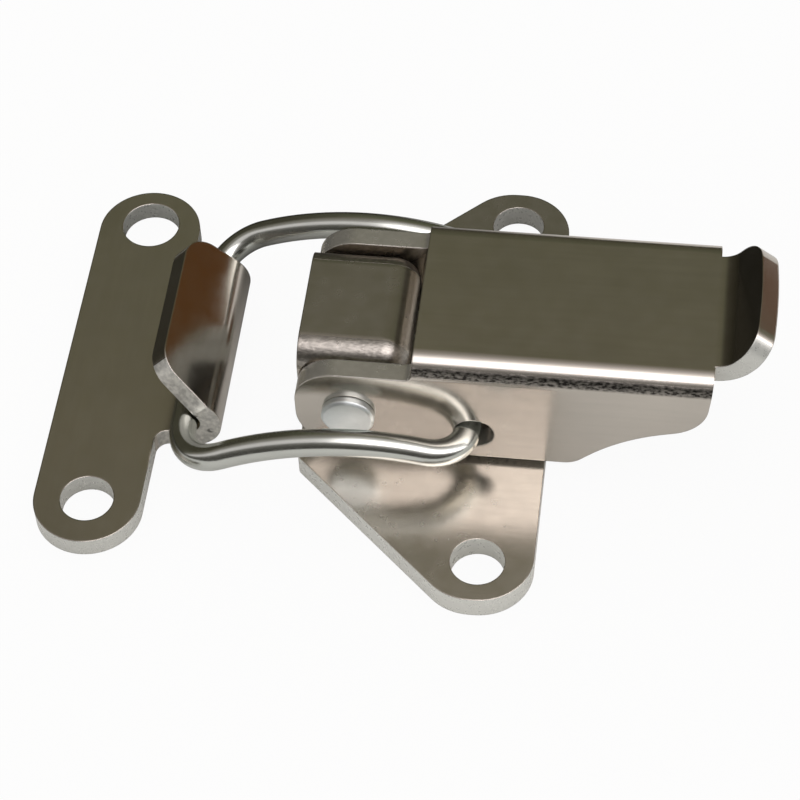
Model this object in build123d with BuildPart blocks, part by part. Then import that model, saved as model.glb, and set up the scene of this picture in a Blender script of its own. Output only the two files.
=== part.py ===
from build123d import *
import os
from math import atan, atan2, cos, hypot, radians, sin

# Over centre toggle latch, shown closed and hooked.
# Millimetres. X runs along the latch, from the keeper to the finger tab, and Z points away from
# the mounting face. The origin lies midway between the base plate's two screw holes, on that face.

# ---------------------------------------------------------------- driving dimensions

# Base plate
base_sheet = 2.6
base_hole_diameter = 5.5
base_hole_spacing = 44.8
ear_side_land = 2.85  # sheet between a screw hole and the straight long side
ear_end_land = 1.9  # sheet between a screw hole and the end of its ear
ear_end_flat = 8.3  # an ear's end, before its corners are rounded
ear_corner_radius = 5.5
toe_left = -19.7
toe_half_width = 11.1
toe_corner_radius = 0.8

# Hump pressed up from the base plate
hump_half_width = 7.45
hump_top = 15.0
hump_heel = -8.4  # its closed end
hump_bend_radius = 2.8  # outside
hump_foot_radius = 0.8  # where it leaves the top of the plate

# Rivet that the lever turns on
rivet_x = -14.3
rivet_z = 8.9
rivet_shank_diameter = 4.0
rivet_head_diameter = 5.4
rivet_head_height = 0.9
rivet_head_rim = 0.25
rivet_closed_rim = 0.5

# Lever
lever_sheet = 2.15
lever_top = 17.2
lever_bend_radius = 0.1  # inside
web_left = -7.75
web_right = 22.0
ear_reach = 5.4  # from the rivet to the end of the ears
ear_rise = 5.8  # from the rivet to the upper edge of the ears
ear_upper_radius = 4.2
ear_lower_radius = 5.2
ear_notch_radius = 0.8
cheek_toe_x = 8.5  # where the cheeks' lower edge starts to rise
cheek_toe_radius = 2.5
cheek_knee_x = 13.3  # where its slope eases
cheek_knee_z = 8.0
cheek_knee_radius = 18.0
cheek_tail_z = 10.3  # where it meets the tail end
cheek_tail_lean = 0.6  # how far the tail end stands in at its foot
cheek_tail_radius = 4.5

# Finger tab at the lever's free end
tab_half_width = 7.2
tab_curl_radius = 2.3  # inside
tab_curl_angle = 52.0
tab_straight = 3.6  # beyond the curl
tab_end_bow = 0.6
tab_corner_radius = 2.9

# Holes in the cheeks for the bail
bail_hole_x = -1.6
bail_hole_z = 7.05
bail_hole_diameter = 4.1

# Bail (measured to the wire's middle line; a bend is given by its tangents' length)
wire_diameter = 2.8
bail_hook_half_width = 15.3
bail_pin_half_width = 13.95
bail_offset = 0.6  # off the latch's middle, within its side play
bail_rise_angle = 26.0  # slope of the arched arms where they leave the hook
bail_hook_bend = 5.4
bail_pin_bend = 4.2
pin_overhang = 1.4  # wire ends past the inside of the cheeks, less the offset

# Keeper
keeper_sheet = 2.2
keeper_x = -40.43
keeper_width = 11.05
keeper_left_end = 24.1  # from the latch's middle to the end beyond the larger hole
keeper_right_end = 23.6
keeper_left_hole_diameter = 6.2
keeper_left_hole_y = 19.3
keeper_right_hole_diameter = 5.5
keeper_right_hole_y = -18.2
tongue_half_width = 10.0
tongue_tip_left = 10.0  # reach of its straight tip to each side of the tongue's middle
tongue_tip_right = 7.7
tongue_offset = 1.2  # off the latch's middle
tongue_root_radius = 1.4
tongue_tip_radius = 3.2
tongue_slope = 42.5  # degrees from the plate
tongue_straight = 6.3
hook_x = -31.78  # middle of the roll that holds the bail

# Clearances
running_gap = 0.05  # round the rivet, under its heads and beside the bail's ends
cheek_side_gap = 0.25  # between the hump and each cheek
cheek_floor_gap = 0.75  # between the base plate and the cheeks' lower edge
wire_seat_gap = 0.25  # round the bail's end bar in the hook

# Edges are picked by place to within this
slack = 0.01

# ---------------------------------------------------------------- derived sizes

base_hole_radius = base_hole_diameter / 2
wire_radius = wire_diameter / 2
rivet_bore_radius = rivet_shank_diameter / 2 + running_gap

cheek_inner = hump_half_width + cheek_side_gap
lever_half_width = cheek_inner + lever_sheet
cheek_floor = base_sheet + cheek_floor_gap

hook_inner_radius = wire_radius + wire_seat_gap
hook_z = keeper_sheet + hook_inner_radius

# The hook's pull holds the bail's ends against the near side of their holes.
bail_hole_play = bail_hole_diameter / 2 - wire_radius - running_gap
bail_pin_x = bail_hole_x - bail_hole_play
bail_pin_z = bail_hole_z


# ---------------------------------------------------------------- base plate


def hump_box(inset):
    """Block of the hump's size from the mounting face up, or of its hollow when inset."""
    with Locations((toe_left, 0, 0)):
        Box(
            hump_heel - inset - toe_left,
            2 * (hump_half_width - inset),
            hump_top - inset,
            align=(Align.MIN, Align.CENTER, Align.MIN),
        )


def foot_edges(edges, level, half_width):
    """Edges round the hump's foot at one level of the sheet."""
    at_level = edges.filter_by_position(Axis.Z, level - slack, level + slack)
    in_width = at_level.filter_by_position(Axis.Y, -half_width - slack, half_width + slack)
    return in_width.filter_by_position(Axis.X, toe_left, 0)


ear_side = base_hole_radius + ear_side_land
ear_end = base_hole_spacing / 2 + base_hole_radius + ear_end_land
ear_inner = ear_side - ear_end_flat

with BuildPart() as hump:
    hump_box(0)
    heel = hump.faces().sort_by(Axis.X)[-1]
    roof = hump.faces().sort_by(Axis.Z)[-1]
    fillet(heel.edges().filter_by(Axis.Z) + roof.edges().sort_by(Axis.X)[1:], hump_bend_radius)

with BuildPart() as hump_hollow:
    hump_box(base_sheet)

with BuildPart() as base_plate:
    with BuildSketch() as base_outline:
        with BuildLine():
            Polyline(
                (ear_side, -ear_end),
                (ear_side, ear_end),
                (ear_inner, ear_end),
                (toe_left, toe_half_width),
                (toe_left, -toe_half_width),
                (ear_inner, -ear_end),
                close=True,
            )
        make_face()
        rows = base_outline.vertices().group_by(Axis.Y)
        fillet(rows[0] + rows[-1], ear_corner_radius)
        fillet(base_outline.vertices().group_by(Axis.X)[0], toe_corner_radius)
        with GridLocations(0, base_hole_spacing, 1, 2):
            Circle(base_hole_radius, mode=Mode.SUBTRACT)
    extrude(amount=base_sheet)

    add(hump.part)
    fillet(foot_edges(base_plate.edges(), base_sheet, hump_half_width), hump_foot_radius)
    add(hump_hollow.part, mode=Mode.SUBTRACT)
    hollow_half_width = hump_half_width - base_sheet
    fillet(foot_edges(base_plate.edges(), 0, hollow_half_width), hump_foot_radius + base_sheet)

    with BuildSketch(Plane.XZ):
        with Locations((rivet_x, rivet_z)):
            Circle(rivet_bore_radius)
    extrude(amount=hump_half_width, both=True, mode=Mode.SUBTRACT)

# ---------------------------------------------------------------- rivet

head_seat = lever_half_width + running_gap
head_face = head_seat + rivet_head_height
rivet_axis = Axis((rivet_x, 0, rivet_z), (0, 1, 0))

with BuildPart() as pivot_rivet:
    with BuildSketch(Plane.XY.offset(rivet_z)):
        with Locations((rivet_x, 0)):
            Rectangle(rivet_shank_diameter / 2, 2 * head_face, align=(Align.MIN, Align.CENTER))
        with GridLocations(0, head_face + head_seat, 1, 2):
            with Locations((rivet_x, 0)):
                Rectangle(rivet_head_diameter / 2, rivet_head_height, align=(Align.MIN, Align.CENTER))
    revolve(axis=rivet_axis)
    rims = pivot_rivet.edges().filter_by(GeomType.CIRCLE).group_by(Axis.Y)
    chamfer(rims[0], rivet_head_rim)
    chamfer(rims[-1], rivet_closed_rim)

# ---------------------------------------------------------------- lever

ear_left = rivet_x - ear_reach
ear_top = rivet_z + ear_rise
tail_foot = web_right - cheek_tail_lean
tab_middle = lever_top - lever_sheet / 2

# Finger tab, a strip that curls up, with its end bowed and its corners rounded
with BuildPart() as finger_tab:
    with BuildSketch(Plane.XZ):
        with BuildLine():
            stub = Line((web_right - lever_sheet, tab_middle), (web_right, tab_middle))
            curl = JernArc(stub @ 1, stub % 1, tab_curl_radius + lever_sheet / 2, tab_curl_angle)
            blade = PolarLine(curl @ 1, tab_straight, direction=curl % 1)
        trace(line_width=lever_sheet)
    extrude(amount=tab_half_width, both=True)

    tip = blade @ 1
    tip_run = blade % 1
    tip_plane = Plane((tip.X, 0, tip.Y), x_dir=(tip_run.X, 0, tip_run.Y), z_dir=(-tip_run.Y, 0, tip_run.X))
    strip_reach = 2 * (tab_curl_radius + lever_sheet + tab_straight)
    with BuildSketch(tip_plane) as tip_outline:
        with BuildLine():
            end = ThreePointArc((-tab_end_bow, -tab_half_width), (0, 0), (-tab_end_bow, tab_half_width))
            Polyline(end @ 0, (-strip_reach, -tab_half_width), (-strip_reach, tab_half_width), end @ 1)
        make_face()
        fillet(tip_outline.vertices().group_by(Axis.X)[-1], tab_corner_radius)
    extrude(amount=strip_reach, both=True, mode=Mode.INTERSECT)

with BuildPart() as lever:
    with BuildSketch(Plane.XZ) as lever_side:
        with BuildLine():
            Polyline(
                (web_left, lever_top),
                (web_right, lever_top),
                (tail_foot, cheek_tail_z),
                (cheek_knee_x, cheek_knee_z),
                (cheek_toe_x, cheek_floor),
                (ear_left, cheek_floor),
                (ear_left, ear_top),
                (web_left, ear_top),
                close=True,
            )
        make_face()

        def at(x, z):
            """Corner of the side outline nearest to a point."""
            return lever_side.vertices().sort_by_distance((x, z))[0]

        fillet(at(tail_foot, cheek_tail_z), cheek_tail_radius)
        fillet(at(cheek_knee_x, cheek_knee_z), cheek_knee_radius)
        fillet(at(cheek_toe_x, cheek_floor), cheek_toe_radius)
        fillet(at(ear_left, cheek_floor), ear_lower_radius)
        fillet(at(ear_left, ear_top), ear_upper_radius)
        fillet(at(web_left, ear_top), ear_notch_radius)
    extrude(amount=lever_half_width, both=True)
    web = lever.faces().sort_by(Axis.Z)[-1]
    fillet(web.edges().filter_by(Axis.X), lever_bend_radius + lever_sheet)

    # Inside of the channel, open at both ends and below
    with BuildSketch(Plane.YZ.offset(ear_left)) as channel:
        with Locations((0, lever_top - lever_sheet)):
            Rectangle(2 * cheek_inner, lever_top, align=(Align.CENTER, Align.MAX))
        fillet(channel.vertices().group_by(Axis.Y)[-1], lever_bend_radius)
    extrude(amount=web_right - ear_left, mode=Mode.SUBTRACT)
    add(finger_tab.part)

    with BuildSketch(Plane.XZ):
        with Locations((rivet_x, rivet_z)):
            Circle(rivet_bore_radius)
        with Locations((bail_hole_x, bail_hole_z)):
            Circle(bail_hole_diameter / 2)
    extrude(amount=lever_half_width, both=True, mode=Mode.SUBTRACT)

# ---------------------------------------------------------------- bail

# The wire turns two corners on each side, over the hook and at the lever. An arm is one arc in
# the upright plane through both: it leaves the first corner along bail_rise_angle, and the
# tangent at its other end meets the second corner.
rise = radians(bail_rise_angle)
arm_reach = bail_pin_x - hook_x
arm_lean = bail_hook_half_width - bail_pin_half_width
arm_span = hypot(arm_reach, arm_lean)
arm_side = bail_offset + bail_hook_half_width
arm_plane = Plane((hook_x, arm_side, 0), x_dir=(arm_reach, -arm_lean, 0), z_dir=(-arm_lean, -arm_reach, 0))
start_run = bail_hook_bend * cos(rise)
start_z = hook_z + bail_hook_bend * sin(rise)
span_run = arm_span - start_run
span_rise = bail_pin_z - start_z
arch_reach = span_run**2 + span_rise**2 - bail_pin_bend**2
arch_radius = arch_reach / (2 * (span_run * sin(rise) - span_rise * cos(rise)))
arch_run = start_run + arch_radius * sin(rise)
arch_z = start_z - arch_radius * cos(rise)
end_bearing = atan2(bail_pin_z - arch_z, arm_span - arch_run) + atan(bail_pin_bend / arch_radius)
end_run = arch_run + arch_radius * cos(end_bearing)
end_z = arch_z + arch_radius * sin(end_bearing)
arm_start = arm_plane.from_local_coords(Vector(start_run, start_z))
arm_end = arm_plane.from_local_coords(Vector(end_run, end_z))

with BuildPart() as bail:
    with BuildLine() as wire_line:
        end_bar = Line((hook_x, bail_offset, hook_z), (hook_x, arm_side - bail_hook_bend, hook_z))
        hook_bend = TangentArc(end_bar @ 1, arm_start, tangent=end_bar % 1)
        arm = TangentArc(hook_bend @ 1, arm_end, tangent=hook_bend % 1)
        pin_start = (bail_pin_x, arm_side - arm_lean - bail_pin_bend, bail_pin_z)
        pin_bend = TangentArc(arm @ 1, pin_start, tangent=arm % 1)
        Line(pin_bend @ 1, (bail_pin_x, bail_offset + cheek_inner - pin_overhang, bail_pin_z))
    with BuildSketch(Plane(end_bar @ 0, z_dir=end_bar % 0)):
        Circle(wire_radius)
    sweep(path=wire_line.wire())
    mirror(about=Plane.XZ.offset(-bail_offset))

# ---------------------------------------------------------------- keeper plate

with BuildPart() as keeper_plate:
    with BuildSketch():
        with Locations((keeper_x, (keeper_left_end - keeper_right_end) / 2)):
            SlotOverall(keeper_left_end + keeper_right_end, keeper_width, rotation=90)
    extrude(amount=keeper_sheet)

    # Tongue, rolled up over the bail and ending in a flap that slopes back
    with BuildSketch(Plane.XZ.offset(-tongue_offset)):
        with BuildLine():
            neck = Line((keeper_x, keeper_sheet / 2), (hook_x, keeper_sheet / 2))
            roll = JernArc(neck @ 1, neck % 1, hook_inner_radius + keeper_sheet / 2, 180 - tongue_slope)
        trace(line_width=keeper_sheet)
    extrude(amount=tongue_half_width, both=True)

    bend = roll @ 1
    run = roll % 1
    flap_plane = Plane((bend.X, tongue_offset, bend.Y), x_dir=(run.X, 0, run.Y), z_dir=(-run.Y, 0, run.X))
    with BuildSketch(flap_plane) as flap:
        with BuildLine():
            Polyline(
                (0, -tongue_half_width),
                (tongue_straight, -tongue_tip_right),
                (tongue_straight, tongue_tip_left),
                (0, tongue_half_width),
                close=True,
            )
        make_face()
        fillet(flap.vertices().group_by(Axis.X)[-1], tongue_tip_radius)
    extrude(amount=keeper_sheet / 2, both=True)

    keeper_side = keeper_x + keeper_width / 2
    upright = keeper_plate.edges().filter_by(Axis.Z)
    roots = upright.filter_by_position(Axis.X, keeper_side - slack, keeper_side + slack)
    fillet(roots, tongue_root_radius)

    with BuildSketch():
        with Locations((keeper_x, keeper_left_hole_y)):
            Circle(keeper_left_hole_diameter / 2)
        with Locations((keeper_x, keeper_right_hole_y)):
            Circle(keeper_right_hole_diameter / 2)
    extrude(amount=keeper_sheet, mode=Mode.SUBTRACT)

# ---------------------------------------------------------------- export

pieces = {
    "base_plate": base_plate,
    "pivot_rivet": pivot_rivet,
    "lever": lever,
    "bail": bail,
    "keeper_plate": keeper_plate,
}

os.makedirs("parts", exist_ok=True)
for label, piece in pieces.items():
    piece.part.label = label
    export_step(piece.part, f"parts/{label}.step")
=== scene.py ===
from math import cos, pi, radians, sin

import bpy
from mathutils import Matrix, Vector

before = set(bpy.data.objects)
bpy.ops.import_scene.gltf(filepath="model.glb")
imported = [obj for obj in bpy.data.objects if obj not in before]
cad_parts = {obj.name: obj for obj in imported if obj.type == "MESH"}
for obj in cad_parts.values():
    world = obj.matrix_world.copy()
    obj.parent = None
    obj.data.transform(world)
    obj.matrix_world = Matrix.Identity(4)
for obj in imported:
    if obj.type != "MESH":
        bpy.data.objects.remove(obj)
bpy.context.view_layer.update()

MM = 0.001
WHITE = (1, 1, 1, 1)

# ------------------------------------------------------------ camera, at the photograph's angle

CAM_AZIMUTH = 9.0996
CAM_ELEVATION = 51.7882
CAM_ROLL = -2.8978
CAM_TARGET = Vector((-10.4036, -0.8077, 0.0)) * MM
CAM_DISTANCE = 284.6413 * MM
CAM_LENS = 121.5
CAM_SENSOR = 36.0
CAM_CLIP_START = 10 * MM


def make_camera():
    az, el, roll = radians(CAM_AZIMUTH), radians(CAM_ELEVATION), radians(CAM_ROLL)
    back = Vector((sin(az) * cos(el), -cos(az) * cos(el), sin(el)))
    right = Vector((0, 0, 1)).cross(back).normalized()
    up = back.cross(right)
    x_axis = right * cos(roll) + up * sin(roll)
    y_axis = up * cos(roll) - right * sin(roll)
    rotation = Matrix((x_axis, y_axis, back)).transposed().to_4x4()
    data = bpy.data.cameras.new("camera")
    data.lens = CAM_LENS
    data.sensor_width = CAM_SENSOR
    data.clip_start = CAM_CLIP_START
    camera = bpy.data.objects.new("camera", data)
    camera.matrix_world = Matrix.Translation(CAM_TARGET + back * CAM_DISTANCE) @ rotation
    bpy.context.scene.collection.objects.link(camera)
    bpy.context.scene.camera = camera


make_camera()

# ------------------------------------------------------------ short names for shader nodes


class Graph:
    """Builds the nodes of one material or world. A mask is 1 where it applies and 0 elsewhere."""

    def __init__(self, owner):
        owner.use_nodes = True
        self.tree = owner.node_tree
        self.tree.nodes.clear()

    def node(self, kind, inputs=None, **settings):
        made = self.tree.nodes.new(kind)
        for key, value in settings.items():
            setattr(made, key, value)
        for key, value in (inputs or {}).items():
            if isinstance(value, bpy.types.NodeSocket):
                self.tree.links.new(value, made.inputs[key])
            else:
                made.inputs[key].default_value = value
        return made

    def math(self, operation, a, b=0.0):
        return self.node("ShaderNodeMath", {0: a, 1: b}, operation=operation).outputs[0]

    def add(self, a, b):
        return self.math("ADD", a, b)

    def times(self, a, b):
        return self.math("MULTIPLY", a, b)

    def magnitude(self, a):
        return self.math("ABSOLUTE", a)

    def over(self, a, limit):
        return self.math("GREATER_THAN", a, limit)

    def under(self, a, limit):
        return self.math("LESS_THAN", a, limit)

    def every(self, *masks):
        result = masks[0]
        for mask in masks[1:]:
            result = self.times(result, mask)
        return result

    def any(self, *masks):
        result = masks[0]
        for mask in masks[1:]:
            result = self.math("MAXIMUM", result, mask)
        return result

    def fade(self, value, low, high, at_low=0.0, at_high=1.0):
        """Value carried from low..high to at_low..at_high, and held beyond them."""
        ends = {"From Min": low, "From Max": high, "To Min": at_low, "To Max": at_high}
        return self.node("ShaderNodeMapRange", {"Value": value, **ends}).outputs[0]

    def where(self, mask, outside, inside):
        """Outside where the mask is 0, inside where it is 1. A plain 0.0 needs no node."""
        return outside if mask == 0.0 else self.fade(mask, 0, 1, outside, inside)

    def ramp(self, factor, stops):
        made = self.node("ShaderNodeValToRGB", {0: factor})
        elements = made.color_ramp.elements
        while len(elements) < len(stops):
            elements.new(0.5)
        for element, (place, colour) in zip(elements, stops):
            element.position = place
            element.color = (*colour, 1.0)
        return made.outputs[0]

    def blend(self, factor, a, b, mode="MIX"):
        settings = {"data_type": "RGBA", "blend_type": mode}
        return self.node("ShaderNodeMix", {0: factor, 6: a, 7: b}, **settings).outputs[2]

    def mix_shaders(self, factor, a, b):
        return self.node("ShaderNodeMixShader", {0: factor, 1: a, 2: b}).outputs[0]

    def stretch(self, vector, factors):
        made = self.node("ShaderNodeVectorMath", {0: vector, 1: factors}, operation="MULTIPLY")
        return made.outputs[0]

    def split(self, vector):
        return self.node("ShaderNodeSeparateXYZ", {0: vector}).outputs

    def noise(self, vector, across, detail=3.0):
        """Noise whose patches are about that many millimetres across."""
        inputs = {"Vector": vector, "Scale": 1 / (across * MM), "Detail": detail}
        return self.node("ShaderNodeTexNoise", inputs).outputs[0]


# ------------------------------------------------------------ world and floor

# What the metal mirrors: a dim room and a soft box overhead. The numbers in front are places, from
# the far horizon, 0, over the top to the near one, 1.
ROOM = (
    (0.0, (0.05, 0.045, 0.03)),
    (0.25, (0.108, 0.110, 0.066)),
    (0.30, (0.140, 0.128, 0.084)),
    (0.34, (0.16, 0.145, 0.11)),
    (0.6, (0.14, 0.13, 0.115)),
    (1.0, (0.045, 0.042, 0.037)),
)
SOFT_BOX = (
    (0.31, 0.0),
    (0.39, 0.26),
    (0.45, 0.55),
    (0.505, 1.15),
    (0.55, 2.9),
    (0.692, 3.0),
    (0.708, 0.85),
    (0.74, 0.35),
    (0.78, 0.2),
    (0.83, 0.04),
    (0.90, 0.0),
)
BOX_TINT = (1.0, 0.95, 0.97)
BOX_ON_THE_LEFT = 0.2  # what is left of the box there
LOW_RIGHT = (0.092, 0.034, 0.005, 1)
LOW_LEFT = (0.052, 0.047, 0.029, 1)

FLOOR_SIZE = 4.0
FLOOR_COLOUR = (0.69, 0.67, 0.65, 1)
FLOOR_GLOW = 0.94  # how much of the floor the camera sees as plain white
DIM_FLOOR = (0.03, 0.028, 0.02, 1)


def make_world():
    world = bpy.data.worlds.new("studio")
    bpy.context.scene.world = world
    g = Graph(world)
    x, y, z = g.split(g.node("ShaderNodeTexCoord").outputs["Generated"])
    place = g.times(g.math("ARCTAN2", z, y), 1 / pi)

    low_right = g.times(g.fade(place, 0.22, 0.12), g.fade(x, 0.3, 0.65))
    low_left = g.times(g.fade(place, 0.40, 0.28), g.fade(x, -0.2, -0.5))
    room = g.blend(low_right, g.ramp(place, ROOM), LOW_RIGHT)
    room = g.blend(low_left, room, LOW_LEFT)
    box = g.ramp(place, [(at, [level * part for part in BOX_TINT]) for at, level in SOFT_BOX])
    box = g.blend(1.0, box, g.fade(x, -0.175, -0.035, BOX_ON_THE_LEFT, 1.0), "MULTIPLY")
    lit = g.blend(1.0, room, box, "ADD")

    # Only the metal's reflections see that. All other light is plain white.
    mirrored = g.node("ShaderNodeBackground", {"Color": lit, "Strength": 1.0}).outputs[0]
    plain = g.node("ShaderNodeBackground", {"Color": WHITE, "Strength": 1.0}).outputs[0]
    glossy = g.node("ShaderNodeLightPath").outputs["Is Glossy Ray"]
    g.node("ShaderNodeOutputWorld", {"Surface": g.mix_shaders(glossy, plain, mirrored)})


def make_floor():
    bpy.ops.mesh.primitive_plane_add(size=FLOOR_SIZE, location=(0, 0, 0))
    floor = bpy.context.object
    floor.name = "floor"
    material = bpy.data.materials.new("floor_white")
    g = Graph(material)
    path = g.node("ShaderNodeLightPath")
    # Behind the latch on the left, the metal mirrors a dim floor and no white sheet, as in the
    # photograph.
    x, y, _ = g.split(g.node("ShaderNodeTexCoord").outputs["Object"])
    behind = g.add(y, g.times(x, -0.5))
    dim = g.every(
        path.outputs["Is Glossy Ray"],
        g.fade(x, 10 * MM, -20 * MM),
        g.fade(behind, 14 * MM, 32 * MM),
    )
    sheet = g.blend(dim, FLOOR_COLOUR, DIM_FLOOR)
    diffuse = g.node("ShaderNodeBsdfDiffuse", {"Color": sheet}).outputs[0]
    glow = g.node("ShaderNodeEmission", {"Color": WHITE, "Strength": 1.0}).outputs[0]
    seen = g.times(path.outputs["Is Camera Ray"], FLOOR_GLOW)
    g.node("ShaderNodeOutputMaterial", {"Surface": g.mix_shaders(seen, diffuse, glow)})
    floor.data.materials.append(material)


make_world()
make_floor()

# ------------------------------------------------------------ plated metal

EDGE_ROUND = 0.22 * MM
EDGE_SAMPLES = 6
RELIEF_HEIGHT = 0.004 * MM  # of a relief of 1
PIT_SPACING = 1.7 * MM
PIT_TONE = 0.3
FOLD_ROUGHNESS = 0.34
CUT_METALLIC = 0.5
CUT_EDGE = (0.64, 0.64, 0.60)

# Where the values of a noise mostly lie, and narrower spans for more contrast.
NOISE_SPAN = (0.3, 0.7)
CRUMBLE_SPAN = (0.35, 0.65)
CRINKLE_SPAN = (0.38, 0.62)


class Plating(Graph):
    """Plated sheet or wire, with the node's own places in millimetres and normals at hand."""

    def __init__(self, name):
        self.material = bpy.data.materials.new(name)
        super().__init__(self.material)
        coords = self.node("ShaderNodeTexCoord")
        self.place = coords.outputs["Object"]
        self.x, self.y, self.z = self.split(self.stretch(self.place, (1 / MM, 1 / MM, 1 / MM)))
        self.nx, self.ny, self.nz = self.split(coords.outputs["Normal"])

    def pits(self, torn, mottle):
        """Small round pits in clusters, on the edges that are torn throughout."""
        if torn == 0.0:
            return 0.0
        cells = self.node("ShaderNodeTexVoronoi", {"Vector": self.place, "Scale": 1 / PIT_SPACING})
        spots = self.fade(cells.outputs["Distance"], 0.24, 0.14)
        return self.every(self.over(torn, 0.5), spots, self.over(mottle, 0.5))

    def finish(self, colour, roughness, drawn, cut=0.0, torn=0.0, worn_and_painted_shade=0.0, painted_light_tone=1.0, splay=0.0):
        """Makes the shader and gives back the material.

        drawn stretches the fine scratches along the way the piece was rolled or drawn. cut marks
        the sheared edges, torn those of them that broke roughly, and worn_and_painted_shade the
        stretched skin of a bend, whose crinkle is also painted dark as shade. painted_light_tone
        scales the tone and carries painted light and shade. splay leans the upright faces back,
        by about a quarter of a degree for 1.
        """
        cloud = self.noise(self.place, across=9.0)
        mottle = self.noise(self.place, across=1.6, detail=2.0)
        grain = self.noise(self.place, across=0.2, detail=1.0)
        scratch = self.noise(self.stretch(self.place, drawn), across=0.5, detail=1.5)
        crumble = self.noise(self.place, across=0.5, detail=2.0)
        crinkle = self.noise(self.stretch(self.place, (0.55, 1, 1)), across=0.25)

        tone = self.times(self.fade(cloud, *NOISE_SPAN, 0.95, 1.03), painted_light_tone)
        tone = self.times(tone, self.fade(scratch, *NOISE_SPAN, 0.98, 1.02))
        tone = self.where(torn, tone, self.fade(crumble, *CRUMBLE_SPAN, 0.75, 1.12))
        tone = self.where(self.pits(torn, mottle), tone, PIT_TONE)
        # Painted shade: the crinkled skin of a bend is painted down to near black.
        tone = self.where(worn_and_painted_shade, tone, self.fade(crinkle, *CRINKLE_SPAN, 0.05, 0.5))
        shade = self.blend(cut, (*colour, 1), (*CUT_EDGE, 1))
        shade = self.blend(1.0, shade, tone, "MULTIPLY")

        rough = self.fade(mottle, *NOISE_SPAN, roughness * 0.9, roughness * 1.15)
        rough = self.where(cut, rough, self.fade(crumble, *NOISE_SPAN, 0.25, 0.36))
        rough = self.where(torn, rough, self.fade(crumble, *NOISE_SPAN, 0.32, 0.45))
        rough = self.where(worn_and_painted_shade, rough, FOLD_ROUGHNESS)

        relief = self.add(self.times(grain, 0.08), self.times(scratch, 0.25))
        relief = self.where(torn, relief, self.times(crumble, 6.0))
        relief = self.where(worn_and_painted_shade, relief, self.times(crinkle, 12.0))
        relief = self.add(relief, self.times(self.z, -splay))
        rounded = self.node("ShaderNodeBevel", {"Radius": EDGE_ROUND}, samples=EDGE_SAMPLES)
        bump = self.node("ShaderNodeBump", {
            "Height": relief,
            "Distance": RELIEF_HEIGHT,
            "Normal": rounded.outputs[0],
        })
        shader = self.node("ShaderNodeBsdfPrincipled", {
            "Base Color": shade,
            "Metallic": self.where(cut, 1.0, CUT_METALLIC),
            "Roughness": rough,
            "Normal": bump.outputs[0],
        })
        self.node("ShaderNodeOutputMaterial", {"Surface": shader.outputs[0]})
        return self.material


# ------------------------------------------------------------ the metals of the five pieces

NICKEL = (0.66, 0.62, 0.56)
ZINC = (0.66, 0.68, 0.64)
RIVET_ZINC = (0.80, 0.85, 0.85)

# Scratches are long along the axis with the small number.
ROLLED_ALONG_X = (0.06, 1, 1)
ROLLED_ALONG_Y = (1, 0.06, 1)
DRAWN_ALONG_X = (0.08, 1, 1)
UNDRAWN = (1, 1, 1)

# Places on the pieces, in millimetres.
BASE_SHEET = 2.6
KEEPER_SHEET = 2.2
HUMP_FOLD_FROM = 12.0
TOE_LEFT = -19.7
HOOK_LEFT = -34.9
LEVER_WEB_UNDER = 15.05
LEVER_WEB_RIGHT = 22.0
LEVER_CHEEK_INNER = 7.7
TAB_TIP_FROM = 26.0
SKIN = 0.05  # a face is told from its neighbour within this

# Faces are told by their normals.
UPRIGHT = 0.3  # z under this
SIDEWAYS = 0.5  # y over this


def base_plate_metal():
    m = Plating("base_plate_nickel")
    side = m.magnitude(m.ny)
    walls = m.every(m.under(m.magnitude(m.nz), UPRIGHT), m.under(m.z, BASE_SHEET + SKIN))
    open_end = m.every(m.under(m.nx, -0.9), m.under(m.x, TOE_LEFT + SKIN))
    hump_fold = m.every(m.over(m.z, HUMP_FOLD_FROM), m.over(side, 0.15), m.under(side, 0.97))
    # Painted light and shade: the flat sheet is painted lighter at the front and darker towards
    # the back, and the hump evenly darker, to set how bright their reflections and highlights come
    # out.
    painted_light_tone = m.fade(m.z, 4, 12, m.fade(m.y, -12, 18, 1.15, 0.82), 0.86)
    return m.finish(
        NICKEL,
        roughness=0.24,
        drawn=ROLLED_ALONG_X,
        cut=m.any(walls, open_end),
        # Painted shade: the hump's fold is painted darker to dim its highlight, over its crinkled
        # skin.
        worn_and_painted_shade=m.times(hump_fold, 0.45),
        painted_light_tone=painted_light_tone,
    )


def keeper_plate_metal():
    m = Plating("keeper_plate_nickel")
    walls = m.every(m.under(m.magnitude(m.nz), UPRIGHT), m.under(m.z, KEEPER_SHEET + SKIN))
    plate_walls = m.every(walls, m.under(m.x, HOOK_LEFT))
    sides = m.over(m.magnitude(m.ny), SIDEWAYS)
    return m.finish(
        NICKEL,
        roughness=0.16,
        drawn=ROLLED_ALONG_Y,
        cut=m.any(plate_walls, m.times(sides, 0.65)),
        torn=m.every(sides, m.over(m.x, HOOK_LEFT)),
    )


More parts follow.
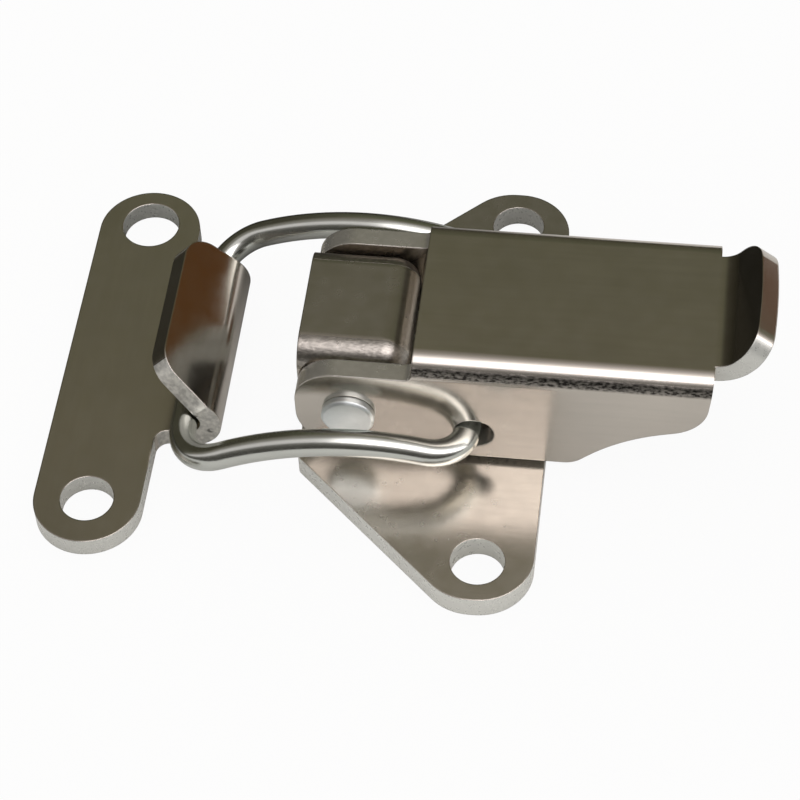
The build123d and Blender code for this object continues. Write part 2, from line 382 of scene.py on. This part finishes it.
def lever_metal():
    m = Plating("lever_nickel")
    side = m.magnitude(m.ny)
    level = m.under(side, SIDEWAYS)
    in_cheeks = m.over(m.magnitude(m.y), LEVER_CHEEK_INNER - SKIN)
    cheek_edges = m.every(level, m.under(m.z, LEVER_WEB_UNDER - SKIN), in_cheeks)
    ear_tops = m.every(cheek_edges, m.over(m.nz, 0.2))
    tab = m.over(m.x, LEVER_WEB_RIGHT + SKIN)
    tab_sides = m.every(tab, m.over(side, SIDEWAYS))
    tab_tip = m.every(m.over(m.x, TAB_TIP_FROM), m.over(m.nx, 0.45), m.over(m.nz, 0.5))
    # Painted shade: the inside of the tab, a hollow, is painted darker.
    tab_inside = m.every(tab, level, m.fade(m.nx, -0.2, -0.7))
    # The skin of the folds is crinkled low on their round, short of the cheeks' flats, and is
    # painted dark there as shade under the folds' highlight.
    over_cheeks = m.over(m.z, LEVER_WEB_UNDER - SKIN)
    fold = m.every(over_cheeks, m.under(m.x, LEVER_WEB_RIGHT), m.over(side, 0.2))
    worn_and_painted_shade = m.every(fold, m.fade(m.nz, 0.66, 0.56), m.fade(m.nz, 0.12, 0.26))
    edge_share = m.fade(m.nz, 0.1, 0.3, 1.0, 0.3)  # edges that face up keep more of the plating
    return m.finish(
        NICKEL,
        roughness=0.17,
        drawn=ROLLED_ALONG_X,
        cut=m.any(m.times(cheek_edges, edge_share), tab_sides, m.times(tab_tip, 0.1)),
        torn=m.times(ear_tops, 0.2),
        worn_and_painted_shade=worn_and_painted_shade,
        # Painted shade inside the tab.
        painted_light_tone=m.where(tab_inside, 0.98, 0.4),
        splay=4.0,
    )


def bail_metal():
    return Plating("bail_zinc").finish(ZINC, roughness=0.17, drawn=DRAWN_ALONG_X)


def pivot_rivet_metal():
    return Plating("pivot_rivet_zinc").finish(RIVET_ZINC, roughness=0.38, drawn=UNDRAWN)


METALS = {
    "base_plate": base_plate_metal,
    "pivot_rivet": pivot_rivet_metal,
    "lever": lever_metal,
    "bail": bail_metal,
    "keeper_plate": keeper_plate_metal,
}
for name, make_metal in METALS.items():
    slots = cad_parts[name].data.materials
    slots.clear()
    slots.append(make_metal())

bpy.context.scene.view_settings.view_transform = "Standard"
